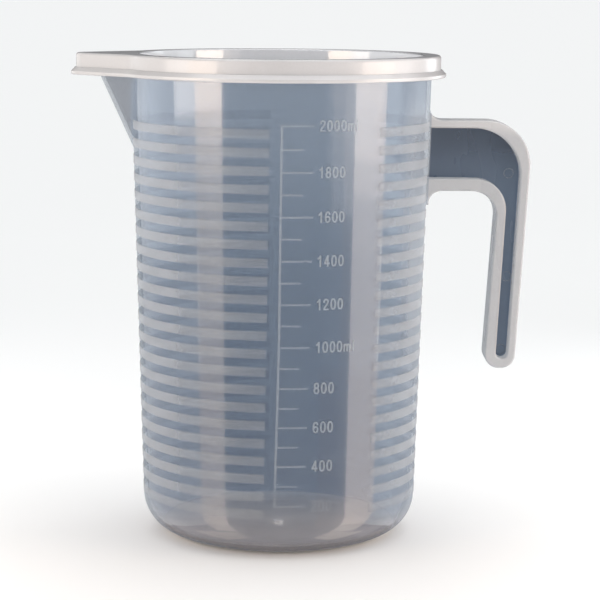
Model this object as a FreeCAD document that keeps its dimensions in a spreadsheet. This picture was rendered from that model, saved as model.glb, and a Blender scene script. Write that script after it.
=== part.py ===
import FreeCAD, Part
import math
import os
import Sketcher
from FreeCAD import Vector

# Measuring jug with a press-on lid.
# Frame: origin on the jug's axis at the underside of the base, +Z up,
# pouring lip towards -X, handle towards +X, front of the scale towards -Y.

doc = FreeCAD.newDocument("measuring_jug")

# ---------------------------------------------------------------- dimensions
SIZES = [
    # the vessel
    ("foot_radius", 58.52, "outer radius of the wall's cone, carried down to the base plane"),
    ("rim_radius", 64.36, "outer radius of the wall at the rim"),
    ("rim_height", 205.6, "height of the rim above the base plane"),
    ("wall", 1.8, "wall thickness"),
    ("floor_thick", 2.0, "floor thickness"),
    ("foot_round", 17.3, "outer radius of the corner between wall and floor"),
    ("gate_radius", 2.2, "radius of the moulding gate's button on the floor"),
    ("gate_height", 1.2, "height of that button"),
    # the pouring lip, a V in plan that slants outwards as it rises
    ("lip_nose_x", 75.25, "distance from the axis to the centre of the nose, at the rim"),
    ("lip_nose_radius", 6.0, "outer radius of the nose"),
    ("lip_half_angle", 42.0, "angle between each side of the V and its middle plane, degrees"),
    ("lip_blend", 14.0, "radius of the hollow blend between V and wall"),
    ("lip_lean", 0.459, "outward travel of the lip for each unit of height"),
    ("lip_drop", 46.0, "height of the slanted part below the rim"),
    # the handle, a hook with a rim all round and a thin web within it
    ("handle_width", 16.0, "width of the handle across Y"),
    ("web_thick", 2.2, "thickness of the web"),
    ("root_x", 63.3, "where the handle's outline leaves the wall"),
    ("arm_top", 179.7, "top of the arm"),
    ("arm_under", 149.5, "underside of the arm"),
    ("grip_end", 72.8, "lowest point of the grip"),
    ("grip_out_top_x", 107.9, "grip's outer line where it meets the arm's top line"),
    ("grip_out_end_x", 101.5, "grip's outer line at the end"),
    ("grip_in_top_x", 93.0, "grip's inner line where it meets the arm's underside"),
    ("grip_in_end_x", 88.2, "grip's inner line at the end"),
    ("root_flare", 6.0, "height of the flare above and below the arm at the wall"),
    ("root_round", 5.6, "radius of that flare"),
    ("elbow_round", 19.0, "outer radius of the elbow"),
    ("inner_elbow_round", 10.5, "radius inside the elbow"),
    ("end_round", 6.0, "radius of the grip's end"),
    ("panel_top", 176.4, "top of the web panel"),
    ("panel_under", 154.9, "underside of the web panel in the arm"),
    ("panel_end", 77.0, "lowest point of the web panel"),
    ("panel_out_top_x", 103.5, "panel's outer line at the top"),
    ("panel_out_end_x", 98.4, "panel's outer line at the end"),
    ("panel_in_top_x", 97.4, "panel's inner line at the arm"),
    ("panel_in_end_x", 93.4, "panel's inner line at the end"),
    ("panel_round", 20.0, "radius of the panel at the elbow"),
    ("panel_inner_round", 13.5, "radius of the panel inside the elbow"),
    ("panel_end_round", 2.4, "radius of the panel's end corners"),
    ("panel_root_x", 57.0, "where the panel ends inside the wall"),
    ("flange_round", 0.9, "rounding of the handle's long edges"),
    # the lid
    ("lid_radius", 68.1, "outer radius of the lid's skirt"),
    ("lid_height", 9.3, "height of the lid from the skirt's lower edge to the crown"),
    ("lid_plate", 1.54, "thickness of the crown"),
    ("lid_skin", 1.5, "thickness of the skirt"),
    ("lid_nose_x", 79.3, "distance from the axis to the centre of the lid's nose"),
    ("lid_nose_radius", 8.5, "outer radius of the lid's nose"),
    ("lid_half_angle", 42.0, "angle between each side of the nose and its middle plane, degrees"),
    ("lid_blend", 12.0, "radius of the hollow blend between nose and skirt"),
    ("bead_out", 2.2, "how far the bead stands out at the foot of the skirt"),
    ("bead_height", 3.2, "height of the bead"),
    ("bead_slope", 1.7, "width of the slope on top of the bead"),
    ("bead_round", 0.7, "rounding of the bead's lower edge"),
    ("well_radius", 61.0, "inner radius of the sunken middle"),
    ("well_depth", 7.0, "depth of the sunken middle"),
    ("well_skin", 1.1, "thickness of the wall round the sunken middle"),
    ("well_floor", 1.3, "thickness of its floor"),
    ("well_draft", 3.0, "degrees that its wall leans outwards, so that the lid leaves its mould"),
    ("crown_round", 1.1, "rounding of the crown's outer edge"),
]

sheet = doc.addObject("Spreadsheet::Sheet", "dims")
sheet.Label = "dims"
S = {}
for row, (name, value, note) in enumerate(SIZES, start=1):
    sheet.set("A%d" % row, name)
    sheet.set("B%d" % row, str(value))
    sheet.set("C%d" % row, note)
    sheet.setAlias("B%d" % row, name)
    S[name] = value
doc.recompute()


class Q:
    """A size: its number now, and the sheet formula that it is bound to."""

    def __init__(self, value, text):
        self.value = float(value)
        self.text = text

    def _join(self, other, mark, value):
        return Q(value, "(%s %s %s)" % (self.text, mark, other.text))

    def __add__(self, other):
        other = num(other)
        return self._join(other, "+", self.value + other.value)

    def __sub__(self, other):
        other = num(other)
        return self._join(other, "-", self.value - other.value)

    def __mul__(self, other):
        other = num(other)
        return self._join(other, "*", self.value * other.value)

    def __truediv__(self, other):
        other = num(other)
        return self._join(other, "/", self.value / other.value)

    def __neg__(self):
        return Q(-self.value, "(0 - %s)" % self.text)


def num(x):
    return x if isinstance(x, Q) else Q(x, repr(float(x)))


def q(name):
    return Q(S[name], "dims." + name)


# ------------------------------------------------------------------- helpers
def origin_plane(body, role):
    return [f for f in body.Origin.OriginFeatures if f.Role == role][0]


def sketch_on(body, name, role, offset=None):
    sk = body.newObject("Sketcher::SketchObject", name)
    sk.AttachmentSupport = [(origin_plane(body, role), "")]
    sk.MapMode = "FlatFace"
    if offset is not None:
        sk.AttachmentOffset = FreeCAD.Placement(Vector(0, 0, offset.value), FreeCAD.Rotation())
        sk.setExpression("AttachmentOffset.Base.z", offset.text)
    return sk


def bind(sk, name, kind, refs, size):
    """Adds one driving dimension to a sketch and ties it to the sheet."""
    i = sk.addConstraint(Sketcher.Constraint(kind, *refs, size.value))
    sk.renameConstraint(i, name)
    sk.setExpression("Constraints." + name, size.text)


def place(sk, name, geo, pos, x, y):
    """Fixes one point of a sketch at (x, y) by sizes from the sheet."""
    for axis, kind, size in (("x", "DistanceX", x), ("y", "DistanceY", y)):
        if abs(size.value) < 1e-9:
            on = (-2) if axis == "x" else (-1)
            sk.addConstraint(Sketcher.Constraint("PointOnObject", geo, pos, on))
        elif size.value > 0:
            bind(sk, name + axis, kind, (-1, 1, geo, pos), size)
        else:
            bind(sk, name + axis, kind, (geo, pos, -1, 1), -size)


def polygon(sk, tag, corners, round_of=None):
    """A closed outline, each corner placed by the sheet. Its sides are straight, but
    round_of gives some a radius: those bulge to the right of the way they run."""
    pts = [Vector(x.value, y.value, 0) for x, y in corners]
    n = len(pts)
    round_of = round_of or {}
    first = None
    for i in range(n):
        a, b = pts[i], pts[(i + 1) % n]
        side = Part.LineSegment(a, b)
        if i in round_of:
            r = round_of[i].value
            chord = b - a
            right = Vector(chord.y, -chord.x, 0).normalize()
            centre = (a + b) * 0.5 - right * math.sqrt(r * r - chord.Length ** 2 / 4)
            turn = [math.atan2(p.y - centre.y, p.x - centre.x) for p in (a, b)]
            if turn[1] <= turn[0]:
                turn[1] += 2 * math.pi
            side = Part.ArcOfCircle(Part.Circle(centre, Vector(0, 0, 1), r), turn[0], turn[1])
        g = sk.addGeometry(side, False)
        first = g if first is None else first
    for i in range(n):
        sk.addConstraint(Sketcher.Constraint("Coincident", first + i, 2, first + (i + 1) % n, 1))
    for i, (x, y) in enumerate(corners):
        place(sk, "%s%d" % (tag, i), first + i, 1, x, y)
    for i, radius in round_of.items():
        bind(sk, "%sround%d" % (tag, i), "Radius", (first + i,), radius)
    return first


def feature(body, kind, name, profile=None, **values):
    f = body.newObject("PartDesign::" + kind, name)
    if profile is not None:
        f.Profile = profile
    for key, value in values.items():
        if isinstance(value, Q):
            setattr(f, key, value.value)
            f.setExpression(key, value.text)
        else:
            setattr(f, key, value)
    return f


def edges_of(shape, test):
    """Names of the edges of a shape that pass a test."""
    return ["Edge%d" % (i + 1) for i, e in enumerate(shape.Edges) if test(e)]


def line_at(x, z, tol=0.05):
    """Test for a straight edge along Y that crosses the XZ plane at (x, z)."""
    def test(e):
        a, b = e.Vertexes[0].Point, e.Vertexes[-1].Point
        return (abs(a.x - x) < tol and abs(b.x - x) < tol and abs(a.z - z) < tol
                and abs(b.z - z) < tol and abs(a.y - b.y) > 0.5)
    return test


def ring_at(e, z, least, most=1e9):
    """Test for a level edge at height z, all of it between two distances from the axis."""
    b = e.BoundBox
    if abs(b.ZMin - z) > 1e-4 or abs(b.ZMax - z) > 1e-4:
        return False
    far = [math.hypot(p.x, p.y) for p in e.discretize(9)]
    return min(far) >= least and max(far) <= most


def rounded(body, base, name, test, radius):
    names = edges_of(base.Shape, test)
    if not names:
        raise RuntimeError("no edge found for " + name)
    f = body.newObject("PartDesign::Fillet", name)
    f.Base = (base, names)
    f.Radius = radius.value
    f.setExpression("Radius", radius.text)
    doc.recompute()
    return f


def nose(sk, half_angle, centre_x, nose_radius, blend, circle_radius, whole, back=None):
    """The plan of a spout: a round nose at -X, two straight sides, and a hollow
    blend from each side into a circle about the axis. With whole, the rest of
    that circle closes the outline; without, straight lines run back to X = -back."""
    b = math.radians(half_angle.value)
    cx, rn, rb, rc = centre_x.value, nose_radius.value, blend.value, circle_radius.value
    sb, cb = math.sin(b), math.cos(b)
    # unit direction of the lower side, from the nose back to the wall, and its outward normal
    along = Vector(cb, -sb, 0)
    out = Vector(-sb, -cb, 0)
    nose_c = Vector(-cx, 0, 0)
    n1 = nose_c + out * rn
    # centre of the blend: rb outside the side line, rc + rb from the axis
    base = nose_c + out * (rn + rb)
    dot = base.dot(along)
    t = -dot + math.sqrt(dot * dot - (base.dot(base) - (rc + rb) ** 2))
    t0 = -dot - math.sqrt(dot * dot - (base.dot(base) - (rc + rb) ** 2))
    t = t0 if t0 > 0 else t
    blend_c = base + along * t
    side_end = blend_c - out * rb
    on_circle = blend_c * (rc / (rc + rb))

    def flip(p):
        return Vector(p.x, -p.y, 0)

    def arc(c, r, p, p2):
        """counter-clockwise arc from p to p2"""
        a = math.atan2(p.y - c.y, p.x - c.x)
        e = math.atan2(p2.y - c.y, p2.x - c.x)
        if e <= a:
            e += 2 * math.pi
        return Part.ArcOfCircle(Part.Circle(c, Vector(0, 0, 1), r), a, e)

    g_nose = sk.addGeometry(arc(nose_c, rn, flip(n1), n1), False)
    g_low = sk.addGeometry(Part.LineSegment(n1, side_end), False)
    g_lowb = sk.addGeometry(arc(blend_c, rb, on_circle, side_end), False)
    g_up = sk.addGeometry(Part.LineSegment(flip(n1), flip(side_end)), False)
    g_upb = sk.addGeometry(arc(flip(blend_c), rb, flip(side_end), flip(on_circle)), False)
    add = sk.addConstraint
    add(Sketcher.Constraint("Tangent", g_nose, 2, g_low, 1))
    add(Sketcher.Constraint("Tangent", g_low, 2, g_lowb, 2))
    add(Sketcher.Constraint("Tangent", g_nose, 1, g_up, 1))
    add(Sketcher.Constraint("Tangent", g_up, 2, g_upb, 1))
    add(Sketcher.Constraint("PointOnObject", g_nose, 3, -1))
    bind(sk, "nose_centre", "DistanceX", (g_nose, 3, -1, 1), centre_x)
    bind(sk, "nose_round", "Radius", (g_nose,), nose_radius)
    bind(sk, "blend_low", "Radius", (g_lowb,), blend)
    bind(sk, "blend_up", "Radius", (g_upb,), blend)
    if whole:
        g_main = sk.addGeometry(arc(Vector(0, 0, 0), rc, on_circle, flip(on_circle)), False)
        add(Sketcher.Constraint("Coincident", g_main, 3, -1, 1))
        add(Sketcher.Constraint("Tangent", g_lowb, 1, g_main, 1))
        add(Sketcher.Constraint("Tangent", g_upb, 2, g_main, 2))
        bind(sk, "main_round", "Radius", (g_main,), circle_radius)
        for k, g in (("low", g_low), ("up", g_up)):
            add(Sketcher.Constraint("Angle", g, b if k == "up" else -b))
    else:
        back_p = Vector(-back.value, on_circle.y, 0)
        l1 = sk.addGeometry(Part.LineSegment(on_circle, back_p), False)
        l2 = sk.addGeometry(Part.LineSegment(back_p, flip(back_p)), False)
        l3 = sk.addGeometry(Part.LineSegment(flip(back_p), flip(on_circle)), False)
        add(Sketcher.Constraint("Coincident", g_lowb, 1, l1, 1))
        add(Sketcher.Constraint("Coincident", l1, 2, l2, 1))
        add(Sketcher.Constraint("Coincident", l2, 2, l3, 1))
        add(Sketcher.Constraint("Coincident", l3, 2, g_upb, 2))
        add(Sketcher.Constraint("Horizontal", l1))
        add(Sketcher.Constraint("Horizontal", l3))
        add(Sketcher.Constraint("Vertical", l2))
        bind(sk, "back", "DistanceX", (l2, 1, -1, 1), back)
        for k, g in (("low", g_low), ("up", g_up)):
            add(Sketcher.Constraint("Angle", g, b if k == "up" else -b))
        # the blend's far end lies on the wall's circle at the rim
        guide = sk.addGeometry(Part.Circle(Vector(0, 0, 0), Vector(0, 0, 1), rc), True)
        add(Sketcher.Constraint("Coincident", guide, 3, -1, 1))
        bind(sk, "wall_round", "Radius", (guide,), circle_radius)
        add(Sketcher.Constraint("PointOnObject", g_lowb, 1, guide))
        add(Sketcher.Constraint("PointOnObject", g_upb, 2, guide))
        bind(sk, "mouth_low", "DistanceY", (g_lowb, 1, -1, 1), num(-on_circle.y))
        bind(sk, "mouth_up", "DistanceY", (-1, 1, g_upb, 2), num(-on_circle.y))


# ------------------------------------------------------------------- the jug
jug = doc.addObject("PartDesign::Body", "jug")
jug.Label = "jug"
jug.Placement = FreeCAD.Placement(Vector(0, 0, 0), FreeCAD.Rotation())

# handle: the rim of the hook, the full width
sk = sketch_on(jug, "hook_rim", "XZ_Plane")
rx, fl = q("root_x"), q("root_flare")
inside = q("panel_root_x")
outer = [
    (inside, q("arm_top") + fl),
    (rx, q("arm_top") + fl),
    (rx, q("arm_top")),
    (q("grip_out_top_x"), q("arm_top")),
    (q("grip_out_end_x"), q("grip_end")),
    (q("grip_in_end_x"), q("grip_end")),
    (q("grip_in_top_x"), q("arm_under")),
    (rx, q("arm_under")),
    (rx, q("arm_under") - fl),
    (inside, q("arm_under") - fl),
]
polygon(sk, "o", outer)
hook = feature(jug, "Pad", "hook", sk, Length=q("handle_width"), SideType="Symmetric")
doc.recompute()

# the panel is cut right through, then closed by the thin web in the middle plane
panel = [
    (inside, q("panel_top")),
    (q("panel_out_top_x"), q("panel_top")),
    (q("panel_out_end_x"), q("panel_end")),
    (q("panel_in_end_x"), q("panel_end")),
    (q("panel_in_top_x"), q("panel_under")),
    (inside, q("panel_under")),
]
sk = sketch_on(jug, "panel_cut", "XZ_Plane")
polygon(sk, "p", panel)
f = feature(jug, "Pocket", "panel_hollow", sk, Length=q("handle_width") + 2.0, SideType="Symmetric")
doc.recompute()
f = rounded(jug, f, "panel_elbow", line_at(S["panel_out_top_x"], S["panel_top"]), q("panel_round"))
f = rounded(jug, f, "panel_end_out", line_at(S["panel_out_end_x"], S["panel_end"]), q("panel_end_round"))
f = rounded(jug, f, "panel_end_in", line_at(S["panel_in_end_x"], S["panel_end"]), q("panel_end_round"))
f = rounded(jug, f, "panel_inner", line_at(S["panel_in_top_x"], S["panel_under"]), q("panel_inner_round"))

f = rounded(jug, f, "elbow", line_at(S["grip_out_top_x"], S["arm_top"]), q("elbow_round"))
f = rounded(jug, f, "inner_elbow", line_at(S["grip_in_top_x"], S["arm_under"]), q("inner_elbow_round"))
f = rounded(jug, f, "end_out", line_at(S["grip_out_end_x"], S["grip_end"]), q("end_round"))
f = rounded(jug, f, "end_in", line_at(S["grip_in_end_x"], S["grip_end"]), q("end_round"))
f = rounded(jug, f, "flare_top", line_at(S["root_x"], S["arm_top"]), q("root_round"))
f = rounded(jug, f, "flare_under", line_at(S["root_x"], S["arm_under"]), q("root_round"))

# long edges of the hook's rim, inside and out, softened
def on_rim_face(e):
    w = S["handle_width"] / 2
    pts = e.discretize(5)
    return all(abs(abs(p.y) - w) < 1e-6 for p in pts) and max(p.x for p in pts) > S["panel_root_x"] + 0.01


f = rounded(jug, f, "soft_edges", on_rim_face, q("flange_round"))

# the sheet-thin web
sk = sketch_on(jug, "web_plan", "XZ_Plane")
polygon(sk, "w", [
    (inside, q("panel_top") + 1.0),
    (q("panel_out_top_x") - q("panel_round") * 0.5, q("panel_top") + 1.0),
    (q("panel_out_top_x") + 1.0, q("panel_top") - q("panel_round") * 0.5),
    (q("panel_out_end_x") + 1.0, q("panel_end") - 1.0),
    (q("panel_in_end_x") - 1.0, q("panel_end") - 1.0),
    (q("panel_in_top_x") - 1.6, q("panel_under") - q("panel_inner_round") * 1.1),
    (q("panel_in_top_x") - q("panel_inner_round") * 0.41, q("panel_under") - q("panel_inner_round") * 0.41),
    (q("panel_in_top_x") - q("panel_inner_round") * 1.1, q("panel_under") - 1.0),
    (inside, q("panel_under") - 1.0),
])
web = feature(jug, "Pad", "web", sk, Length=q("web_thick"), SideType="Symmetric")
doc.recompute()

# vessel, solid at first: a cone with a rounded foot
sk = sketch_on(jug, "vessel_section", "XZ_Plane")
polygon(sk, "v", [
    (num(0), num(0)),
    (q("foot_radius"), num(0)),
    (q("rim_radius"), q("rim_height")),
    (num(0), q("rim_height")),
])
vessel = feature(jug, "Revolution", "vessel", sk, ReferenceAxis=(sk, ["V_Axis"]), Angle=360.0)
doc.recompute()

# lip: the V plan at the rim, carried down along its lean
lean = Vector(S["lip_lean"], 0, -1)
reach = q("lip_drop") * Q(lean.Length, "sqrt(1 + dims.lip_lean * dims.lip_lean)")
sk = sketch_on(jug, "lip_plan", "XY_Plane", q("rim_height"))
nose(sk, q("lip_half_angle"), q("lip_nose_x"), q("lip_nose_radius"), q("lip_blend"),
     q("rim_radius"), False, num(40.0))
lip = feature(jug, "Pad", "lip", sk, Length=reach)
lip.UseCustomVector = True
lip.Direction = lean
lip.AlongSketchNormal = False
doc.recompute()

foot = rounded(
    jug, lip, "foot",
    lambda e: ring_at(e, 0.0, S["foot_radius"] - 0.01),
    q("foot_round"))

# hollow: the same cone one wall further in, with its own rounded corner
sk = sketch_on(jug, "hollow_section", "XZ_Plane")
slope = (q("rim_radius") - q("foot_radius")) / q("rim_height")
high = q("rim_height") + 5.0
low = q("floor_thick")
corner = q("foot_radius") + slope * low - q("wall")
tilt = math.atan(slope.value)
inner_round = q("foot_round") - q("wall")
cut = inner_round * Q(math.tan((math.pi / 2 - tilt) / 2), "tan((90 - atan(%s) / 1 deg) / 2 * 1 deg)" % slope.text)
up = Q(math.cos(tilt), "cos(atan(%s))" % slope.text)
side = Q(math.sin(tilt), "sin(atan(%s))" % slope.text)
polygon(sk, "h", [
    (num(0), low),
    (corner - cut, low),
    (corner + cut * side, low + cut * up),
    (q("foot_radius") + slope * high - q("wall"), high),
    (num(0), high),
], round_of={1: inner_round})
hollow = feature(jug, "Groove", "hollow", sk, ReferenceAxis=(sk, ["V_Axis"]), Angle=360.0)
doc.recompute()

sk = sketch_on(jug, "lip_hollow_plan", "XY_Plane", q("rim_height"))
nose(sk, q("lip_half_angle"), q("lip_nose_x"), q("lip_nose_radius") - q("wall"),
     q("lip_blend") + q("wall"), q("rim_radius") - q("wall"), False, num(30.0))
channel = feature(jug, "Pocket", "lip_hollow", sk, Length=reach)
channel.UseCustomVector = True
channel.Direction = lean
channel.AlongSketchNormal = False
doc.recompute()

# the moulding gate's button in the middle of the floor
sk = sketch_on(jug, "gate_plan", "XY_Plane", q("floor_thick"))
g = sk.addGeometry(Part.Circle(Vector(0, 0, 0), Vector(0, 0, 1), S["gate_radius"]), False)
sk.addConstraint(Sketcher.Constraint("Coincident", g, 3, -1, 1))
bind(sk, "gate", "Radius", (g,), q("gate_radius"))
gate = feature(jug, "Pad", "gate", sk, Length=q("gate_height"))
doc.recompute()

jug.Tip = gate
doc.recompute()

# ------------------------------------------------------------------- the lid
lid = doc.addObject("PartDesign::Body", "lid")
lid.Label = "lid"
lid.Placement = FreeCAD.Placement(Vector(0, 0, 0), FreeCAD.Rotation())

crown = q("rim_height") + q("lid_plate")
skirt_foot = crown - q("lid_height")


def lid_plan(name, z, offset):
    sk = sketch_on(lid, name, "XY_Plane", z)
    nose(sk, q("lid_half_angle"), q("lid_nose_x"), q("lid_nose_radius") + offset,
         q("lid_blend") - offset, q("lid_radius") + offset, True)
    return sk


# bead at the foot of the skirt: round below, sloped above
bead = feature(lid, "Pad", "bead", lid_plan("bead_plan", skirt_foot, q("bead_out")), Length=q("bead_height"))
doc.recompute()
bead_low = rounded(lid, bead, "bead_low", lambda e: ring_at(e, skirt_foot.value, 0.0), q("bead_round"))
names = edges_of(bead_low.Shape, lambda e: ring_at(e, skirt_foot.value + S["bead_height"], 0.0))
bead_up = lid.newObject("PartDesign::Chamfer", "bead_up")
bead_up.Base = (bead_low, names)
bead_up.Size = S["bead_slope"]
bead_up.setExpression("Size", "dims.bead_slope")
doc.recompute()

# skirt and crown, solid at first
block = feature(lid, "Pad", "block", lid_plan("skirt_plan", skirt_foot, num(0)), Length=q("lid_height"))
doc.recompute()
top = rounded(lid, block, "crown_edge", lambda e: ring_at(e, crown.value, 0.0), q("crown_round"))

# underside, left open between the skirt and the sunken middle
under = feature(lid, "Pocket", "underside", lid_plan("underside_plan", skirt_foot, -q("lid_skin")),
                Length=q("lid_height") - q("lid_plate"), Reversed=True)
doc.recompute()

# sunken middle: a cup of its own that hangs from the crown
sk = sketch_on(lid, "cup_plan", "XY_Plane", crown - q("well_depth") - q("well_floor"))
g = sk.addGeometry(Part.Circle(Vector(0, 0, 0), Vector(0, 0, 1), S["well_radius"] + S["well_skin"]), False)
sk.addConstraint(Sketcher.Constraint("Coincident", g, 3, -1, 1))
bind(sk, "cup", "Radius", (g,), q("well_radius") + q("well_skin"))
cup = feature(lid, "Pad", "cup", sk, Length=q("well_depth") + q("well_floor") - q("lid_plate") * 0.5)
doc.recompute()

sk = sketch_on(lid, "well_plan", "XY_Plane", crown)
g = sk.addGeometry(Part.Circle(Vector(0, 0, 0), Vector(0, 0, 1), S["well_radius"]), False)
sk.addConstraint(Sketcher.Constraint("Coincident", g, 3, -1, 1))
bind(sk, "well", "Radius", (g,), q("well_radius"))
well = feature(lid, "Pocket", "well", sk, Length=q("well_depth"), TaperAngle=num(-1) * q("well_draft"))
doc.recompute()

well_edge = rounded(lid, well, "well_edge",
                    lambda e: ring_at(e, crown.value, S["well_radius"] - 0.01, S["well_radius"] + 0.01), num(0.6))
well_foot = rounded(lid, well_edge, "well_foot",
                    lambda e: ring_at(e, crown.value - S["well_depth"], S["well_radius"] - 1.0,
                                      S["well_radius"] - 0.1), num(1.2))
lid.Tip = well_foot
doc.recompute()

# ------------------------------------------------------------------- checks and files
NODES = [jug, lid]
for obj in doc.Objects:
    if obj.TypeId == "Sketcher::SketchObject" and (obj.solve() != 0 or obj.DoF != 0):
        print("sketch not fully fixed:", obj.Name, obj.DoF)
for obj in doc.Objects:
    state = [s for s in obj.State if s in ("Invalid", "Error")]
    if state:
        raise RuntimeError("%s: %s" % (obj.Name, ", ".join(state)))
os.makedirs("parts", exist_ok=True)
for node in NODES:
    shape = node.Shape
    if shape.isNull() or not shape.isValid() or len(shape.Solids) != 1:
        raise RuntimeError("bad shape: " + node.Label)
for node in NODES:
    node.Shape.exportStep("parts/%s.step" % node.Label)
    bb = node.Shape.BoundBox
    print("%s: X %.2f..%.2f  Y %.2f..%.2f  Z %.2f..%.2f  volume %.1f cm3  faces %d"
          % (node.Label, bb.XMin, bb.XMax, bb.YMin, bb.YMax, bb.ZMin, bb.ZMax,
             node.Shape.Volume / 1000, len(node.Shape.Faces)))
common = jug.Shape.common(lid.Shape)
print("overlap of jug and lid, mm3: %.4f" % common.Volume)
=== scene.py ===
import math

import bmesh
import bpy
from mathutils import Matrix, Vector
from mathutils.bvhtree import BVHTree
from mathutils.geometry import delaunay_2d_cdt


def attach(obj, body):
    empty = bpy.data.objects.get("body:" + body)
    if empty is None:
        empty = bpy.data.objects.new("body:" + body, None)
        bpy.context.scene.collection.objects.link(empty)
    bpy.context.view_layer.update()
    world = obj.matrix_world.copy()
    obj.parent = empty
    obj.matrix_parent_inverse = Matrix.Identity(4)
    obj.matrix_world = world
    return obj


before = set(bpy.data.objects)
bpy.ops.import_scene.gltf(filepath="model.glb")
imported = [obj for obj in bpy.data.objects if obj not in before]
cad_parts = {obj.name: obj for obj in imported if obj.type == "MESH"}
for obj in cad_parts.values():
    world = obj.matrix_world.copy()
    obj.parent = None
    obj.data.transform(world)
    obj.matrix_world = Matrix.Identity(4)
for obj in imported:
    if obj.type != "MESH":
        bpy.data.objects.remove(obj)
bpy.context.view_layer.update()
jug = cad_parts["jug"]
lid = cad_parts["lid"]
MM = 0.001

# ---------------------------------------------------------------- the vessel's cone, as in the CAD part
FOOT_RADIUS = 0.05852
RIM_RADIUS = 0.06436
RIM_HEIGHT = 0.2056


def cone(z):
    """Outer radius of the vessel at height z."""
    return FOOT_RADIUS + (RIM_RADIUS - FOOT_RADIUS) * z / RIM_HEIGHT


def on_wall(phi, z, out=0.0):
    """Point at angle phi (radians, 0 at the front, growing towards the handle), height z, out metres off the wall."""
    r = cone(z) + out
    return Vector((r * math.sin(phi), -r * math.cos(phi), z))


# ---------------------------------------------------------------- node helpers
class Nodes:
    """A short way to write one node material."""

    def __init__(self, name):
        self.mat = bpy.data.materials.new(name)
        self.mat.use_nodes = True
        self.nt = self.mat.node_tree
        self.nt.nodes.clear()
        self.x = 0

    def add(self, kind, **settings):
        n = self.nt.nodes.new(kind)
        n.location = (self.x, 0)
        self.x += 180
        for k, v in settings.items():
            setattr(n, k, v)
        return n

    def link(self, a, b):
        self.nt.links.new(a, b)

    def put(self, socket, value):
        if isinstance(value, bpy.types.NodeSocket):
            self.link(value, socket)
        else:
            socket.default_value = value

    def math(self, op, a, b=0.0, c=None, clamp=False):
        n = self.add("ShaderNodeMath", operation=op, use_clamp=clamp)
        self.put(n.inputs[0], a)
        self.put(n.inputs[1], b)
        if c is not None:
            self.put(n.inputs[2], c)
        return n.outputs[0]

    def ramp(self, value, lo, hi, out_lo=0.0, out_hi=1.0, smooth=True):
        n = self.add("ShaderNodeMapRange", interpolation_type="SMOOTHSTEP" if smooth else "LINEAR")
        self.put(n.inputs["Value"], value)
        n.inputs["From Min"].default_value = lo
        n.inputs["From Max"].default_value = hi
        n.inputs["To Min"].default_value = out_lo
        n.inputs["To Max"].default_value = out_hi
        return n.outputs["Result"]

    def mix(self, fac, a, b, kind="FLOAT"):
        n = self.add("ShaderNodeMix", data_type=kind)
        self.put(n.inputs[0], fac)
        i = {"FLOAT": 2, "RGBA": 6}[kind]
        self.put(n.inputs[i], a)
        self.put(n.inputs[i + 1], b)
        return n.outputs[{"FLOAT": 0, "RGBA": 2}[kind]]

    def noise(self, scale, detail=3.0, rough=0.5, stretch=None, w=0.0):
        n = self.add("ShaderNodeTexNoise", noise_dimensions="4D")
        n.inputs["Scale"].default_value = scale
        n.inputs["Detail"].default_value = detail
        n.inputs["Roughness"].default_value = rough
        n.inputs["W"].default_value = w
        co = self.coords()
        if stretch is not None:
            m = self.add("ShaderNodeMapping")
            m.inputs["Scale"].default_value = stretch
            self.link(co, m.inputs["Vector"])
            co = m.outputs[0]
        self.link(co, n.inputs["Vector"])
        return n.outputs[0]

    def coords(self):
        if not hasattr(self, "_co"):
            self._co = self.add("ShaderNodeTexCoord").outputs["Object"]
        return self._co

    def xyz(self):
        if not hasattr(self, "_xyz"):
            s = self.add("ShaderNodeSeparateXYZ")
            self.link(self.coords(), s.inputs[0])
            self._xyz = s.outputs[0], s.outputs[1], s.outputs[2]
        return self._xyz

    def bump(self, height, strength, distance, normal=None):
        n = self.add("ShaderNodeBump")
        n.inputs["Strength"].default_value = strength
        n.inputs["Distance"].default_value = distance
        self.link(height, n.inputs["Height"])
        if normal is not None:
            self.link(normal, n.inputs["Normal"])
        return n.outputs[0]

    def plastic(self, opacity, colour, roughness, normal=None, tint=(1, 1, 1, 1), specular=0.5, coat=0.0, coat_rough=0.1, coat_ior=1.5):
        """A haze of milky plastic over what shows through it."""
        clear = self.add("ShaderNodeBsdfTransparent")
        clear.inputs["Color"].default_value = tint
        body = self.add("ShaderNodeBsdfPrincipled")
        self.put(body.inputs["Base Color"], colour)
        self.put(body.inputs["Roughness"], roughness)
        body.inputs["Specular IOR Level"].default_value = specular
        self.put(body.inputs["Coat Weight"], coat)
        body.inputs["Coat Roughness"].default_value = coat_rough
        body.inputs["IOR"].default_value = 1.49
        body.inputs["Coat IOR"].default_value = coat_ior
        if normal is not None:
            self.link(normal, body.inputs["Normal"])
        m = self.add("ShaderNodeMixShader")
        self.put(m.inputs[0], opacity)
        self.link(clear.outputs[0], m.inputs[1])
        self.link(body.outputs[0], m.inputs[2])
        out = self.add("ShaderNodeOutputMaterial")
        self.link(m.outputs[0], out.inputs["Surface"])
        return self.mat


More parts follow.
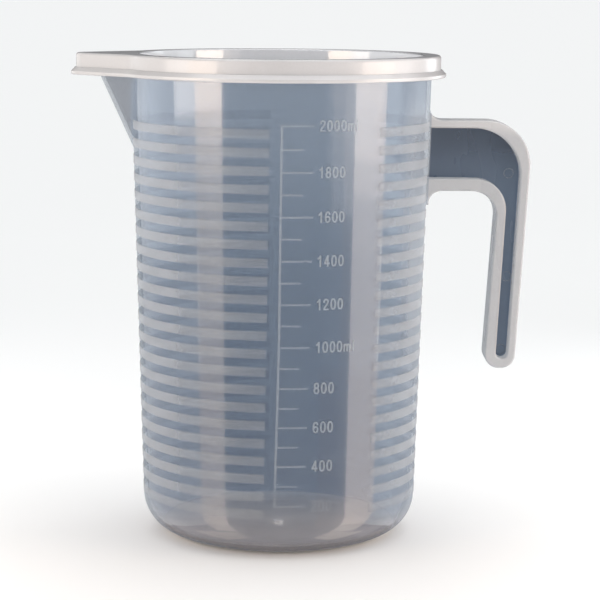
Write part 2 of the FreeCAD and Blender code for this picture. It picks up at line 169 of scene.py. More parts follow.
# ---------------------------------------------------------------- materials
def jug_material():
    n = Nodes("jug_plastic")
    x, y, z = n.xyz()
    r = n.math("SQRT", n.math("ADD", n.math("MULTIPLY", x, x), n.math("MULTIPLY", y, y)))
    wall = n.math("MULTIPLY_ADD", z, (RIM_RADIUS - FOOT_RADIUS) / RIM_HEIGHT, FOOT_RADIUS)
    beyond = n.math("SUBTRACT", r, wall)
    away = n.ramp(beyond, 0.0004, 0.0012)
    right = n.ramp(x, 0.02, 0.03)
    handle = n.math("MULTIPLY", away, right)
    thin = n.ramp(n.math("ABSOLUTE", y), 0.0012, 0.0016, 1.0, 0.0)
    facing = n.add("ShaderNodeSeparateXYZ")
    n.link(n.add("ShaderNodeNewGeometry").outputs["Normal"], facing.inputs[0])
    sideways = n.ramp(n.math("ABSOLUTE", facing.outputs[1]), 0.3, 0.6)
    web = n.math("MULTIPLY", n.math("MULTIPLY", handle, thin), sideways)
    # cloudy flow of the melt, long in the direction it ran, and fine speckle
    cloud = n.noise(38.0, 3.0, 0.55, stretch=(1.0, 1.0, 0.28))
    speck = n.noise(900.0, 2.0, 0.6, w=3.0)
    haze = n.ramp(cloud, 0.25, 0.75, -0.018, 0.018, smooth=False)
    grain = n.ramp(speck, 0.3, 0.7, -0.012, 0.012, smooth=False)
    side = n.ramp(n.math("ABSOLUTE", x), 0.024, 0.042)
    foot = n.mix(side, n.ramp(z, 0.008, 0.030, 1.0, 0.0), n.ramp(z, 0.006, 0.020, 1.0, 0.0))
    disc = n.math("MULTIPLY", n.ramp(r, 0.0493, 0.0503, 1.0, 0.0), n.ramp(z, 0.006, 0.009, 1.0, 0.0))
    base = n.math("ADD", haze, grain)
    low = n.ramp(z, 0.01, 0.20, 1.0, 0.0, smooth=False)
    body_o = n.math("ADD", base, n.mix(low, WALL_OPACITY, WALL_OPACITY_LOW))
    o = n.mix(handle, body_o, n.math("ADD", grain, FLANGE_OPACITY))
    o = n.mix(web, o, n.math("ADD", grain, WEB_OPACITY))
    o = n.mix(disc, o, n.math("ADD", base, DISC_OPACITY))
    tone = n.ramp(cloud, 0.3, 0.7)
    wall_c = n.mix(tone, (*WALL_COLOUR_A, 1), (*WALL_COLOUR_B, 1), "RGBA")
    wall_c = n.mix(low, wall_c, (*WALL_COLOUR_LOW, 1), "RGBA")
    wall_c = n.mix(foot, wall_c, (*FOOT_COLOUR, 1), "RGBA")
    # painted light: the sides of the foot are made lighter a few millimetres above the floor
    heel = n.math("MULTIPLY", side, n.math("MULTIPLY", n.ramp(z, 0.0015, 0.0035), n.ramp(z, 0.007, 0.013, 1.0, 0.0)))
    wall_c = n.mix(heel, wall_c, (*HEEL_PAINTED_LIGHT, 1), "RGBA")
    # painted light: towards the top the wall is made lighter and bluer, in place of the light it catches there
    wall_c = n.mix(n.ramp(z, 0.115, 0.200), wall_c, (*WALL_TOP_PAINTED_LIGHT, 1), "RGBA")
    # painted reflection: the wall beside the handle is made lighter and milkier, in place of the fill light it mirrors
    # there
    edge = n.math("MULTIPLY", n.ramp(x, 0.047, 0.056), n.math("MULTIPLY", n.ramp(z, 0.050, 0.110, 0.5, 1.0), n.ramp(z, 0.178, 0.195, 1.0, 0.35)))
    wall_c = n.mix(edge, wall_c, (*WALL_EDGE_PAINTED_REFLECTION, 1), "RGBA")
    lip = n.math("MULTIPLY", away, n.ramp(x, -0.060, -0.050, 1.0, 0.0))
    wall_c = n.mix(lip, wall_c, (*LIP_COLOUR, 1), "RGBA")
    flange_c = n.mix(tone, (*FLANGE_COLOUR_A, 1), (*FLANGE_COLOUR_B, 1), "RGBA")
    # painted light: the top of the handle is made lighter, as lit from above
    flange_c = n.mix(n.ramp(z, 0.172, 0.178), flange_c, (*FLANGE_TOP_PAINTED_LIGHT, 1), "RGBA")
    web_c = n.mix(tone, (*WEB_COLOUR_A, 1), (*WEB_COLOUR_B, 1), "RGBA")
    c = n.mix(handle, wall_c, flange_c, "RGBA")
    # painted highlight: the lower part of the handle's web is made lighter and bluer
    web_c = n.mix(n.ramp(z, 0.145, 0.175, 1.0, 0.0), web_c, (*WEB_LOW_PAINTED_HIGHLIGHT, 1), "RGBA")
    c = n.mix(web, c, web_c, "RGBA")
    c = n.mix(disc, c, (*DISC_COLOUR, 1), "RGBA")
    # painted glint: the gate button at the middle of the floor is made near white
    c = n.mix(n.ramp(r, 0.0022, 0.0025, 1.0, 0.0), c, (0.95, 0.92, 0.88, 1), "RGBA")
    rough = n.math("ADD", n.ramp(cloud, 0.2, 0.8, 0.10, 0.16), n.ramp(x, 0.046, 0.056, 0.0, 0.30))
    rough = n.mix(handle, rough, n.ramp(cloud, 0.2, 0.8, 0.24, 0.32))
    bump = n.bump(n.noise(120.0, 2.0, 0.5, stretch=(1, 1, 0.4), w=1.0), 0.12, 0.0004)
    coat = n.mix(handle, n.ramp(x, 0.046, 0.054, 1.0, 0.15), 0.15)
    return n.plastic(o, c, rough, bump, WALL_TINT, specular=0.5, coat=coat, coat_rough=0.07, coat_ior=2.0)


def band_material():
    n = Nodes("frosted_band")
    etch = n.noise(2600.0, 3.0, 0.7, w=5.0)
    cloud = n.noise(60.0, 2.0, 0.5, w=7.0)
    x, y, z = n.xyz()
    side = n.ramp(n.math("ABSOLUTE", n.math("ADD", x, -0.008)), 0.020, 0.050)
    o = n.math("ADD", n.ramp(etch, 0.3, 0.7, -0.03, 0.03, smooth=False), n.ramp(cloud, 0.3, 0.7, -0.02, 0.02))
    o = n.math("ADD", o, n.mix(side, BAND_OPACITY, BAND_OPACITY_SIDE))
    o = n.math("MULTIPLY", o, n.ramp(z, 0.010, 0.030, 0.55, 1.0))
    # drawn weaker where the left highlight lies over the bands
    under_glare = n.math("MULTIPLY", n.ramp(x, -0.0455, -0.0385), n.ramp(x, -0.030, -0.024, 1.0, 0.0))
    o = n.math("MULTIPLY", o, n.mix(under_glare, 1.0, 0.72))
    c = n.mix(n.ramp(etch, 0.35, 0.65), (*BAND_COLOUR_A, 1), (*BAND_COLOUR_B, 1), "RGBA")
    rough = n.ramp(etch, 0.3, 0.7, 0.42, 0.56)
    return n.plastic(o, c, rough, n.bump(etch, 0.25, 0.00008), specular=0.8)


def scale_material(name, opacity):
    n = Nodes(name)
    grain = n.noise(1500.0, 2.0, 0.6, w=9.0)
    x, y, z = n.xyz()
    o = n.math("MULTIPLY", n.ramp(grain, 0.3, 0.7, opacity - 0.03, opacity + 0.03), n.ramp(z, 0.022, 0.040, 0.55, 1.0))
    c = n.mix(grain, (*SCALE_COLOUR_A, 1), (*SCALE_COLOUR_B, 1), "RGBA")
    return n.plastic(o, c, n.ramp(grain, 0.3, 0.7, 0.3, 0.4), n.bump(grain, 0.1, 0.00005), specular=0.7)


def lid_material():
    n = Nodes("lid_plastic")
    cloud = n.noise(26.0, 3.0, 0.5, w=11.0)
    speck = n.noise(1100.0, 2.0, 0.6, w=12.0)
    o = n.math("ADD", n.ramp(speck, 0.3, 0.7, -0.015, 0.015, smooth=False), n.ramp(cloud, 0.25, 0.75, LID_OPACITY - 0.015, LID_OPACITY + 0.015))
    c = n.mix(n.ramp(cloud, 0.3, 0.7), (*LID_COLOUR_A, 1), (*LID_COLOUR_B, 1), "RGBA")
    x, y, z = n.xyz()
    r = n.math("SQRT", n.math("ADD", n.math("MULTIPLY", x, x), n.math("MULTIPLY", y, y)))
    well = n.math("MULTIPLY", n.ramp(r, 0.0611, 0.0613, 1.0, 0.0), n.math("MULTIPLY", n.ramp(r, 0.0599, 0.0601), n.ramp(z, 0.1995, 0.2005)))
    # painted shade: the spout end of the lid is made greyer, where the light from the left falls strongest
    c = n.mix(n.ramp(x, -0.055, -0.020, 1.0, 0.0), c, (*LID_SPOUT_END_PAINTED_SHADE, 1), "RGBA")
    # painted shade: the handle end of the lid is made greyer, where the light from the right falls strongest
    c = n.mix(n.ramp(x, 0.048, 0.060), c, (*LID_HANDLE_END_PAINTED_SHADE, 1), "RGBA")
    # painted light: the wall of the lid's well is made near white
    c = n.mix(well, c, (*WELL_PAINTED_LIGHT, 1), "RGBA")
    rough = n.ramp(cloud, 0.2, 0.8, 0.20, 0.28)
    bump = n.bump(n.noise(90.0, 2.0, 0.5, w=13.0), 0.1, 0.0004)
    bump = n.bump(speck, 0.05, 0.0001, bump)
    return n.plastic(o, c, rough, bump, specular=0.5, coat=n.mix(well, 0.22, 1.0), coat_rough=0.08, coat_ior=2.0)


WALL_OPACITY = 0.385
WALL_TINT = (0.94, 0.97, 1.0, 1)
WALL_OPACITY_LOW = 0.48
FOOT_COLOUR = (0.36, 0.350, 0.38)
# painted light on the sides of the foot
HEEL_PAINTED_LIGHT = (0.50, 0.48, 0.51)
DISC_OPACITY = 0.80
DISC_COLOUR = (0.82, 0.755, 0.70)
# painted light on the top of the wall
WALL_TOP_PAINTED_LIGHT = (0.195, 0.250, 0.345)
LIP_COLOUR = (0.165, 0.172, 0.20)
# painted reflection on the wall beside the handle
WALL_EDGE_PAINTED_REFLECTION = (0.40, 0.435, 0.49)
WALL_COLOUR_A = (0.092, 0.145, 0.232)
WALL_COLOUR_B = (0.108, 0.163, 0.256)
WALL_COLOUR_LOW = (0.060, 0.098, 0.178)
FLANGE_OPACITY = 0.62
FLANGE_COLOUR_A = (0.56, 0.55, 0.56)
FLANGE_COLOUR_B = (0.62, 0.61, 0.615)
# painted light on the top of the handle
FLANGE_TOP_PAINTED_LIGHT = (0.74, 0.71, 0.70)
WEB_OPACITY = 0.80
WEB_COLOUR_A = (0.042, 0.060, 0.100)
WEB_COLOUR_B = (0.060, 0.084, 0.132)
# painted highlight on the lower web
WEB_LOW_PAINTED_HIGHLIGHT = (0.138, 0.196, 0.290)
BAND_OPACITY = 0.24
BAND_OPACITY_SIDE = 0.42
BAND_COLOUR_A = (0.49, 0.505, 0.53)
BAND_COLOUR_B = (0.56, 0.575, 0.60)
SCALE_OPACITY = 0.27
NUMBER_OPACITY = 0.36
SCALE_COLOUR_A = (0.58, 0.63, 0.67)
SCALE_COLOUR_B = (0.68, 0.72, 0.75)
LID_OPACITY = 0.90
LID_COLOUR_A = (0.72, 0.71, 0.725)
LID_COLOUR_B = (0.78, 0.77, 0.785)
# painted light on the wall of the lid's well
WELL_PAINTED_LIGHT = (0.955, 0.965, 1.0)
# painted shade on the spout end of the lid
LID_SPOUT_END_PAINTED_SHADE = (0.575, 0.57, 0.58)
# painted shade on the handle end of the lid
LID_HANDLE_END_PAINTED_SHADE = (0.60, 0.59, 0.605)

JUG_MAT = jug_material()
BAND_MAT = band_material()
SCALE_MAT = scale_material("raised_scale", SCALE_OPACITY)
NUMBER_MAT = scale_material("raised_numbers", NUMBER_OPACITY)
LID_MAT = lid_material()
jug.material_slots[0].material = JUG_MAT
lid.material_slots[0].material = LID_MAT


# ---------------------------------------------------------------- pieces
def piece(name, verts, faces, material, smooth=True):
    me = bpy.data.meshes.new(name)
    me.from_pydata([tuple(v) for v in verts], [], faces)
    me.materials.append(material)
    me.validate()
    if smooth:
        me.polygons.foreach_set("use_smooth", [True] * len(me.polygons))
    ob = bpy.data.objects.new(name, me)
    bpy.context.scene.collection.objects.link(ob)
    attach(ob, "root")
    return ob


TREE = BVHTree.FromPolygons([v.co for v in jug.data.vertices], [p.vertices[:] for p in jug.data.polygons])


def stands_out(phi, z):
    """How far the jug's outside stands out from its cone there: the lip and the handle do."""
    d = Vector((math.sin(phi), -math.cos(phi), 0))
    hit = TREE.ray_cast(d * 0.16 + Vector((0, 0, z)), -d)[0]
    return 0.0 if hit is None else math.hypot(hit.x, hit.y) - cone(z)


EDGE = [(0.0, -0.04), (0.10, 0.10), (0.25, 0.19), (0.50, 0.24)]  # mm in from the edge, mm off the wall


def relief(verts, faces, phi0, phi1, z_of, half, rise=1.0, step=2.0):
    """A strip of raised relief along the wall from phi0 to phi1, in radians, half above and below height z_of(phi), in metres, with rounded edges."""
    length = (phi1 - phi0) * cone(z_of(phi0))
    top = EDGE[-1][1]
    edge = [(min(d * MM, half * 0.9 * (i / 3.0) if half < 0.0005 else d * MM), h) for i, (d, h) in enumerate(EDGE)]
    rows = [(-half + d, h) for d, h in edge] + ([] if half < 0.0008 else [(0.0, top)]) + [(half - d, h) for d, h in reversed(edge)]
    n = max(2, int(math.ceil(length * 1000 / step)))
    cols = [(d, h) for d, h in edge]
    a, b = edge[-1][0], length - edge[-1][0]
    cols += [(a + (b - a) * i / n, top) for i in range(1, n)]
    cols += [(length - d, h) for d, h in reversed(edge)]
    start = len(verts)
    for d, hc in cols:
        phi = phi0 + (phi1 - phi0) * d / length
        for dz, hr in rows:
            z = z_of(phi) + dz
            verts.append(on_wall(phi, z, min(hc, hr) * rise * MM))
    m = len(rows)
    for i in range(len(cols) - 1):
        for j in range(m - 1):
            a = start + i * m + j
            faces.append((a, a + m, a + m + 1, a + 1))


# frosted bands: 22 of them, in two groups, with a plain window at the front for the scale and one at the back
BANDS = [0.17723 - 0.00751 * i for i in range(22)]
BAND_HALF = 0.0020


def line_through(points, z):
    """Value at z on straight lines through (z, value) points, highest z first."""
    for (za, va), (zb, vb) in zip(points, points[1:]):
        if z >= zb or (zb, vb) == points[-1]:
            return va + (vb - va) * (za - z) / (za - zb)


def free_spans(phi0, phi1, z, lo, hi):
    """The stretches from phi0 to phi1, in radians, where no lip or handle stands on the wall between lo and hi."""
    spans, open_at = [], None
    n = 900
    for i in range(n + 1):
        phi = phi0 + (phi1 - phi0) * i / n
        clear = all(stands_out(phi, q) < 0.00012 for q in (lo, z, hi))
        at = on_wall(phi, z)
        if at.x > 0 and abs(at.y) < 0.0092 and 0.1435 < z < 0.1875:
            clear = False
        if clear and open_at is None:
            open_at = phi
        if not clear and open_at is not None:
            spans.append((open_at, phi))
            open_at = None
    if open_at is not None:
        spans.append((open_at, phi1))
    return [s for s in spans if (s[1] - s[0]) * 0.06 > 0.002]


def bands():
    verts, faces = [], []
    for z in BANDS:
        left = math.radians(line_through([(0.1806, -4.2), (0.140, -4.6), (0.100, -5.0), (0.020, -6.1)], z))
        right = math.radians(39.5)
        groups = [(math.radians(-175.5), left), (right, math.radians(136.5))]
        for a, b in groups:
            for s, e in free_spans(a, b, z, z - BAND_HALF, z + BAND_HALF):
                relief(verts, faces, s, e, lambda phi: z, BAND_HALF)
    return piece("frosted_bands", verts, faces, BAND_MAT)


SCALE_LINE = [(0.1806, 0.23), (0.0896, -0.3), (0.0314, -1.5), (0.0215, -1.75)]
TICKS = {2000: 180.6, 1900: 171.0, 1800: 161.7, 1700: 152.6, 1600: 143.5, 1500: 134.6, 1400: 125.5, 1300: 116.5, 1200: 107.6, 1100: 98.8,
         1000: 89.8, 900: 81.1, 800: 72.7, 700: 64.4, 600: 56.3, 500: 48.1, 400: 39.9, 300: 31.5, 200: 22.9}


def scale():
    verts, faces = [], []
    # the upright line, from the highest mark to the lowest
    n = 60
    half = 0.0005
    z0, z1 = 0.1806 + 0.0004, 0.0229 - 0.0004
    rows = [(-half, -0.04), (-half * 0.7, 0.14), (-half * 0.35, 0.2), (half * 0.35, 0.2), (half * 0.7, 0.14), (half, -0.04)]
    for i in range(n + 1):
        z = z0 + (z1 - z0) * i / n
        phi = math.radians(line_through(SCALE_LINE, min(z, 0.1806)))
        for d, h in rows:
            verts.append(on_wall(phi + d / cone(z), z, h * MM))
    m = len(rows)
    for i in range(n):
        for j in range(m - 1):
            a = i * m + j
            faces.append((a, a + 1, a + m + 1, a + m))
    for ml, mm in TICKS.items():
        z = mm * MM
        start = math.radians(line_through(SCALE_LINE, min(z, 0.1806)))
        if (ml // 100) % 2 == 0:
            end = line_through([(0.1806, 12.3), (0.1, 11.7), (0.0229, 10.4)], min(z, 0.1806))
        else:
            end = line_through([(0.1806, 8.3), (0.0229, 7.3)], z)
        relief(verts, faces, start, math.radians(end), lambda phi: z, 0.00042, 0.8, step=1.5)
    return piece("scale_marks", verts, faces, SCALE_MAT)


def oval(cx, cy, rx, ry, power=2.3, n=28):
    """A closed, slightly squared oval."""
    out = []
    for i in range(n + 1):
        t = 2 * math.pi * i / n
        c, d = math.cos(t), math.sin(t)
        out.append((cx + rx * math.copysign(abs(c) ** (2 / power), c), cy + ry * math.copysign(abs(d) ** (2 / power), d)))
    return out


# plain strokes in a box one unit high
GLYPHS = {
    "0": (0.52, [oval(0.26, 0.5, 0.185, 0.425)]),
    "1": (0.46, [[(0.08, 0.71), (0.19, 0.79), (0.27, 0.925), (0.27, 0.07)]]),
    "2": (0.52, [[(0.085, 0.70), (0.10, 0.80), (0.16, 0.89), (0.26, 0.925), (0.37, 0.89), (0.43, 0.80), (0.435, 0.70), (0.40, 0.59), (0.32, 0.46), (0.21, 0.33), (0.12, 0.20), (0.085, 0.075), (0.45, 0.075)]]),
    "4": (0.52, [[(0.34, 0.07), (0.34, 0.925), (0.06, 0.30), (0.47, 0.30)]]),
    "6": (0.52, [[(0.425, 0.75), (0.40, 0.85), (0.34, 0.91), (0.26, 0.925), (0.17, 0.885), (0.11, 0.77), (0.08, 0.58), (0.075, 0.38), (0.10, 0.20), (0.17, 0.10), (0.26, 0.075), (0.355, 0.10), (0.42, 0.19), (0.445, 0.31), (0.42, 0.43), (0.355, 0.52), (0.27, 0.55), (0.18, 0.52), (0.11, 0.44)]]),
    "8": (0.52, [oval(0.26, 0.725, 0.155, 0.200, 2.1), oval(0.26, 0.300, 0.185, 0.225, 2.1)]),
    "m": (0.74, [[(0.07, 0.07), (0.07, 0.64)], [(0.07, 0.48), (0.13, 0.59), (0.22, 0.63), (0.31, 0.58), (0.34, 0.47), (0.34, 0.07)], [(0.34, 0.48), (0.40, 0.59), (0.49, 0.63), (0.58, 0.58), (0.61, 0.47), (0.61, 0.07)]]),
    "l": (0.20, [[(0.08, 0.07), (0.08, 0.925)]]),
}
GAP = 0.12
STROKE = 0.135


def glyph_mesh(text):
    """Flat triangles of the strokes of a text, one unit high, as a bmesh, and its width."""
    points, polys, u = [], [], 0.0

    def polygon(corners):
        start = len(points)
        points.extend(Vector(c) for c in corners)
        polys.append(list(range(start, start + len(corners))))

    for ch in text:
        width, strokes = GLYPHS[ch]
        for line in strokes:
            for i, (x, y) in enumerate(line):
                polygon([(u + x + STROKE / 2 * math.cos(2 * math.pi * k / 12 + 0.13), y + STROKE / 2 * math.sin(2 * math.pi * k / 12 + 0.13)) for k in range(12)])
                if i:
                    px, py = line[i - 1]
                    d = math.hypot(x - px, y - py)
                    if d > 1e-6:
                        nx, ny = -(y - py) / d * STROKE / 2, (x - px) / d * STROKE / 2
                        polygon([(u + px - nx, py - ny), (u + x - nx, y - ny), (u + x + nx, y + ny), (u + px + nx, py + ny)])
        u += width + GAP
    vs, _, fs, _, _, owners = delaunay_2d_cdt(points, [], polys, 1, 1e-6, True)
    bm = bmesh.new()
    made = [bm.verts.new((v[0], v[1], 0)) for v in vs]
    for f, own in zip(fs, owners):
        if own:
            bm.faces.new([made[i] for i in f])
    for v in [v for v in bm.verts if not v.link_faces]:
        bm.verts.remove(v)
    return bm, u - GAP


def lettering():
    """The plain numbers beside the scale, as raised relief that follows the wall."""
    verts, faces = [], []
    for ml in range(2000, 0, -200):
        z = TICKS[ml] * MM
        text = str(ml) + ("ml" if ml in (2000, 1000) else "")
        bm, width = glyph_mesh(text)
        k = line_through([(0.1806, 0.00475), (0.0229, 0.00500)], min(z, 0.1806))
        start = math.radians(line_through([(0.1806, 14.1), (0.0896, 13.9), (0.0727, 13.3), (0.0229, 12.9)], min(z, 0.1806)))
        # cut the faces into narrow columns, so that they follow the curve of the wall
        c = 0.1
        while c < width:
            bmesh.ops.bisect_plane(bm, geom=bm.verts[:] + bm.edges[:] + bm.faces[:], plane_co=(c, 0, 0), plane_no=(1, 0, 0), dist=1e-6)
            c += 0.0010 / k

        def at(v, out):
            return on_wall(start + v.co.x * k / cone(z), z + (v.co.y - 0.5) * k, out)

        index, lower = {}, {}
        for v in bm.verts:
            index[v] = len(verts)
            verts.append(at(v, 0.00018))
        for f in bm.faces:
            faces.append(tuple(index[v] for v in f.verts))
        for e in bm.edges:
            if len(e.link_faces) == 1:
                for v in e.verts:
                    if v not in lower:
                        lower[v] = len(verts)
                        verts.append(at(v, -0.00004))
                loop = e.link_loops[0]
                a, b = loop.vert, loop.link_loop_next.vert
                faces.append((index[b], index[a], lower[a], lower[b]))
        bm.free()
    return piece("scale_numbers", verts, faces, NUMBER_MAT, smooth=False)


def pin_marks():
    """Faint rings that the mould's ejector pins left on both sides of the handle's web."""
    verts, faces = [], []
    face_y = 0.0011
    profile = [(2.25, -0.03), (2.18, 0.09), (2.05, 0.12), (1.90, 0.09), (1.82, -0.03)]
    n = 40
    for cx, cz in ((98.0, 156.8), (98.0, 112.0), (96.1, 80.0)):
        for side in (-1, 1):
            start = len(verts)
            for i in range(n):
                a = 2 * math.pi * i / n
                for r, h in profile:
                    verts.append(Vector(((cx + r * math.cos(a)) * MM, side * (face_y + h * MM), (cz + r * math.sin(a)) * MM)))
            m = len(profile)
            for i in range(n):
                for j in range(m - 1):
                    a, b = start + i * m + j, start + (i + 1) % n * m + j
                    quad = (a, b, b + 1, a + 1)
                    faces.append(quad if side < 0 else quad[::-1])
    return piece("pin_marks", verts, faces, SCALE_MAT)


band_piece = bands()
scale_piece = scale()
number_piece = lettering()
pin_piece = pin_marks()


# ---------------------------------------------------------------- floor, light, camera
def floor_material():
    n = Nodes("floor")
    cloud = n.noise(1.3, 3.0, 0.5)
    c = n.mix(n.ramp(cloud, 0.3, 0.7), (0.84, 0.84, 0.84, 1), (0.86, 0.86, 0.86, 1), "RGBA")
    x, y, z = n.xyz()
    c = n.mix(n.ramp(n.math("SQRT", n.math("ADD", n.math("MULTIPLY", x, x), n.math("MULTIPLY", y, y))), 0.15, 0.9), c, (0.97, 0.97, 0.965, 1), "RGBA")
    body = n.add("ShaderNodeBsdfPrincipled")
    n.link(c, body.inputs["Base Color"])
    body.inputs["Roughness"].default_value = 0.75
    body.inputs["Specular IOR Level"].default_value = 0.2
    out = n.add("ShaderNodeOutputMaterial")
    n.link(body.outputs[0], out.inputs["Surface"])
    return n.mat


def floor():
    """A pale flat disc that reaches far away."""
    verts, faces = [(0, 0, -0.0002)], []
    rings = [0.15, 0.3, 0.6, 1.2, 2.5, 5.0, 12.0, 30.0]
    n = 64
    for r in rings:
        for i in range(n):
            a = 2 * math.pi * i / n
            verts.append((r * math.cos(a), r * math.sin(a), -0.0002))
    for i in range(n):
        faces.append((0, 1 + i, 1 + (i + 1) % n))
    for k in range(len(rings) - 1):
        for i in range(n):
            a, b = 1 + k * n + i, 1 + k * n + (i + 1) % n
            faces.append((a, a + n, b + n, b))
    me = bpy.data.meshes.new("floor")
    me.from_pydata(verts, [], faces)
    me.materials.append(floor_material())
    ob = bpy.data.objects.new("floor", me)
    bpy.context.scene.collection.objects.link(ob)
    ob.visible_glossy = False
    return ob


floor()

world = bpy.data.worlds.new("studio")
bpy.context.scene.world = world
world.use_nodes = True
background = world.node_tree.nodes["Background"]
background.inputs["Strength"].default_value = 0.38
where = world.node_tree.nodes.new("ShaderNodeTexCoord")
split = world.node_tree.nodes.new("ShaderNodeSeparateXYZ")
steep = world.node_tree.nodes.new("ShaderNodeMapRange")
steep.inputs["From Min"].default_value = -0.50
steep.inputs["From Max"].default_value = -0.25
shade = world.node_tree.nodes.new("ShaderNodeMix")
shade.data_type = "RGBA"
shade.inputs[6].default_value = (0.10, 0.12, 0.20, 1)
shade.inputs[7].default_value = (0.94, 0.975, 1.0, 1)
world.node_tree.links.new(where.outputs["Generated"], split.inputs[0])
world.node_tree.links.new(split.outputs[2], steep.inputs["Value"])
world.node_tree.links.new(steep.outputs["Result"], shade.inputs[0])
world.node_tree.links.new(shade.outputs[2], background.inputs["Color"])


def softbox(name, azimuth, distance, width, low, high, brightness, colour=(1, 1, 1)):
    """An upright soft light that looks at the jug. azimuth is in degrees from the front, growing towards the handle; brightness is its radiance."""
    a = math.radians(azimuth)
    light = bpy.data.lights.new(name, "AREA")
    light.shape = "RECTANGLE"
    light.size = width
    light.size_y = high - low
    light.energy = brightness * math.pi * width * (high - low)
    light.color = colour
    ob = bpy.data.objects.new(name, light)
    bpy.context.scene.collection.objects.link(ob)
    place = Vector((distance * math.sin(a), -distance * math.cos(a), (low + high) / 2))
    ob.location = place
    ob.visible_camera = False
    look = Vector((-place.x, -place.y, 0)).normalized()
    ob.rotation_euler = look.to_track_quat("-Z", "Y").to_euler()
    return ob


def span(name, start, end, distance, low, high, brightness, colour=(1, 1, 1)):
    """A softbox that fills the directions from start to end, in degrees."""
    half = math.radians(abs(end - start) / 2)
    softbox(name, (start + end) / 2, distance * math.cos(half), 2 * distance * math.sin(half), low, high, brightness, colour)


def card(name, start, end, distance, low, high, brightness, colour=(1, 1, 1)):
    """An upright panel that shows only in the gloss of a surface, from start to end, in degrees. brightness is its radiance."""
    verts = []
    for z in (low, high):
        for az in (start, end):
            a = math.radians(az)
            verts.append((distance * math.sin(a), -distance * math.cos(a), z))
    me = bpy.data.meshes.new(name)
    me.from_pydata(verts, [], [(0, 1, 3, 2)])
    mat = bpy.data.materials.new(name)
    mat.use_nodes = True
    mat.node_tree.nodes.clear()
    glow = mat.node_tree.nodes.new("ShaderNodeEmission")
    glow.inputs["Color"].default_value = (*colour, 1)
    glow.inputs["Strength"].default_value = brightness
    out = mat.node_tree.nodes.new("ShaderNodeOutputMaterial")
    mat.node_tree.links.new(glow.outputs[0], out.inputs["Surface"])
    mat.cycles.emission_sampling = "NONE"
    me.materials.append(mat)
    ob = bpy.data.objects.new(name, me)
    bpy.context.scene.collection.objects.link(ob)
    ob.visible_camera = ob.visible_diffuse = ob.visible_transmission = ob.visible_shadow = ob.visible_volume_scatter = False


WARM = (1.0, 0.83, 0.70)
# two upright strips, brighter towards the top, in pieces that follow on from each other
STEPS_LEFT = [(0.166, 0.26, 5.05), (0.148, 0.166, 6.3), (0.132, 0.148, 4.0), (0.112, 0.132, 2.6), (0.070, 0.112, 1.6), (0.003, 0.070, 1.45)]
STEPS_RIGHT = [(0.152, 0.26, 5.25), (0.122, 0.152, 4.7), (0.102, 0.122, 3.6), (0.070, 0.102, 2.65), (0.003, 0.070, 2.45)]
for side, start, end, steps, tone in (("left", -42.3, -63.8, STEPS_LEFT, (1.0, 0.79, 0.62)), ("right", 53.8, 81.1, STEPS_RIGHT, WARM)):
    for i, (low, high, bright) in enumerate(steps):
        span("strip_%s_%d" % (side, i), start, end, 0.40, low, high, bright, tone)
span("wing_left", -63.8, -83.0, 0.40, 0.145, 0.26, 3.2, (1.0, 0.90, 0.82))
span("glow_right_wide", 37.0, 46.0, 0.40, 0.09, 0.26, 0.45, WARM)
span("glow_right", 46.0, 53.8, 0.40, 0.09, 0.26, 1.0, WARM)
span("fill_left_high", -65.0, -140.0, 0.55, 0.14, 0.36, 1.12)
span("fill_left", -65.0, -140.0, 0.55, 0.06, 0.14, 1.05)
span("fill_right_high", 83.0, 100.0, 0.55, 0.11, 0.36, 1.7, (0.94, 0.98, 1.0))
span("fill_right_mid", 100.0, 120.0, 0.55, 0.11, 0.36, 0.95, (0.94, 0.98, 1.0))
span("fill_right_far", 120.0, 140.0, 0.55, 0.11, 0.36, 2.4, (0.94, 0.98, 1.0))
span("fill_right", 83.0, 140.0, 0.55, 0.06, 0.11, 1.5, (0.94, 0.98, 1.0))
# below the floor the strips go on as cards, so that the foot of the wall mirrors them too
card("card_left", -42.3, -63.8, 0.40, -0.22, 0.003, 1.75, WARM)
card("card_right", 53.8, 81.1, 0.40, -0.22, 0.003, 2.6, WARM)
card("card_left_low", -42.3, -63.8, 0.40, -0.40, -0.22, 1.25, WARM)
card("card_right_low", 53.8, 81.1, 0.40, -0.40, -0.22, 1.7, WARM)
card("card_glow", 46.0, 53.8, 0.40, -0.22, 0.09, 0.45, WARM)
card("card_fill_left", -63.8, -140.0, 0.55, -0.20, 0.06, 1.12)
card("card_fill_left_low", -63.8, -140.0, 0.55, -0.35, -0.20, 0.92)
card("card_fill_right", 81.1, 140.0, 0.55, -0.20, 0.06, 1.6, (0.94, 0.98, 1.0))
card("card_fill_right_low", 81.1, 140.0, 0.55, -0.35, -0.20, 1.2, (0.94, 0.98, 1.0))
card("card_left_foot", -42.3, -100.0, 0.40, -0.90, -0.40, 0.75, WARM)
card("card_right_foot", 53.8, 100.0, 0.40, -0.90, -0.40, 1.1, WARM)
card("card_glow_wide", 30.0, 46.0, 0.40, -0.22, 0.0, 0.30, WARM)
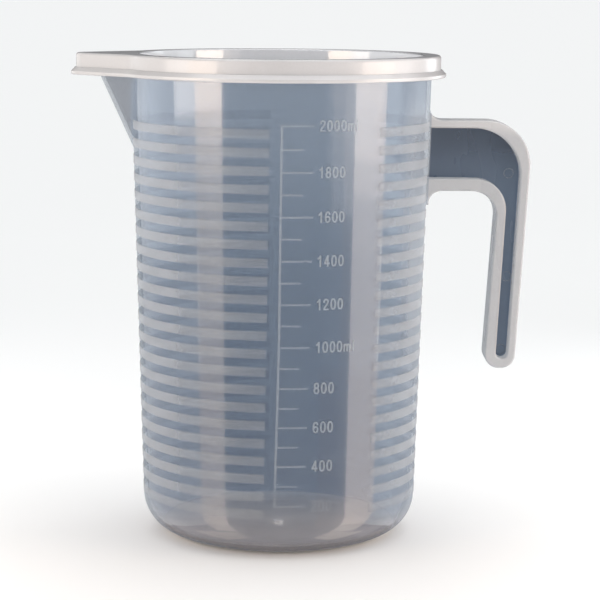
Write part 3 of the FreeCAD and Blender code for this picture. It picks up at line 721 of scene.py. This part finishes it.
# a dark flag behind, mirrored by the level surfaces of the lid
card("flag", 140.0, 220.0, 1.4, 0.225, 1.7, 0.02)
sky = bpy.data.lights.new("overhead", "SUN")
sky.energy = 1.9
sky.angle = math.radians(70)
sky_ob = bpy.data.objects.new("overhead", sky)
bpy.context.scene.collection.objects.link(sky_ob)
sky_ob.rotation_euler = (math.radians(-8), math.radians(4), 0)


def inner_light(name, place, target, energy, size, blend, soft):
    """A narrow light inside the vessel, onto its milky floor."""
    light = bpy.data.lights.new(name, "SPOT")
    light.energy = energy
    light.spot_size = math.radians(size)
    light.spot_blend = blend
    light.shadow_soft_size = soft
    light.color = (1.0, 0.93, 0.86)
    ob = bpy.data.objects.new(name, light)
    bpy.context.scene.collection.objects.link(ob)
    ob.location = place
    ob.rotation_euler = (Vector(target) - Vector(place)).to_track_quat("-Z", "Y").to_euler()
    ob.visible_camera = ob.visible_glossy = False


inner_light("down", (0, 0, 0.185), (0, 0, 0), 0.9, 33, 0.25, 0.01)
inner_light("gate_glint", (0, -0.030, 0.022), (0, 0.001, 0.0026), 0.055, 17, 0.8, 0.001)


def camera():
    cam = bpy.data.cameras.new("camera")
    cam.lens = 135.95
    cam.sensor_width = 36.0
    cam.clip_start = 0.01
    cam.clip_end = 100.0
    ob = bpy.data.objects.new("camera", cam)
    bpy.context.scene.collection.objects.link(ob)
    pitch, yaw, roll = math.radians(8.27), math.radians(0.51), math.radians(0.479)
    fwd = Vector((math.sin(yaw) * math.cos(pitch), math.cos(yaw) * math.cos(pitch), -math.sin(pitch)))
    right = Vector((math.cos(yaw), -math.sin(yaw), 0))
    up = right.cross(fwd)
    r2 = right * math.cos(roll) + up * math.sin(roll)
    u2 = up * math.cos(roll) - right * math.sin(roll)
    ob.matrix_world = Matrix((
        (r2.x, u2.x, -fwd.x, 0.0),
        (r2.y, u2.y, -fwd.y, -0.9736),
        (r2.z, u2.z, -fwd.z, 0.24233),
        (0, 0, 0, 1),
    ))
    bpy.context.scene.camera = ob


camera()
bpy.context.scene.view_settings.view_transform = "Standard"
bpy.context.scene.cycles.transparent_max_bounces = 32
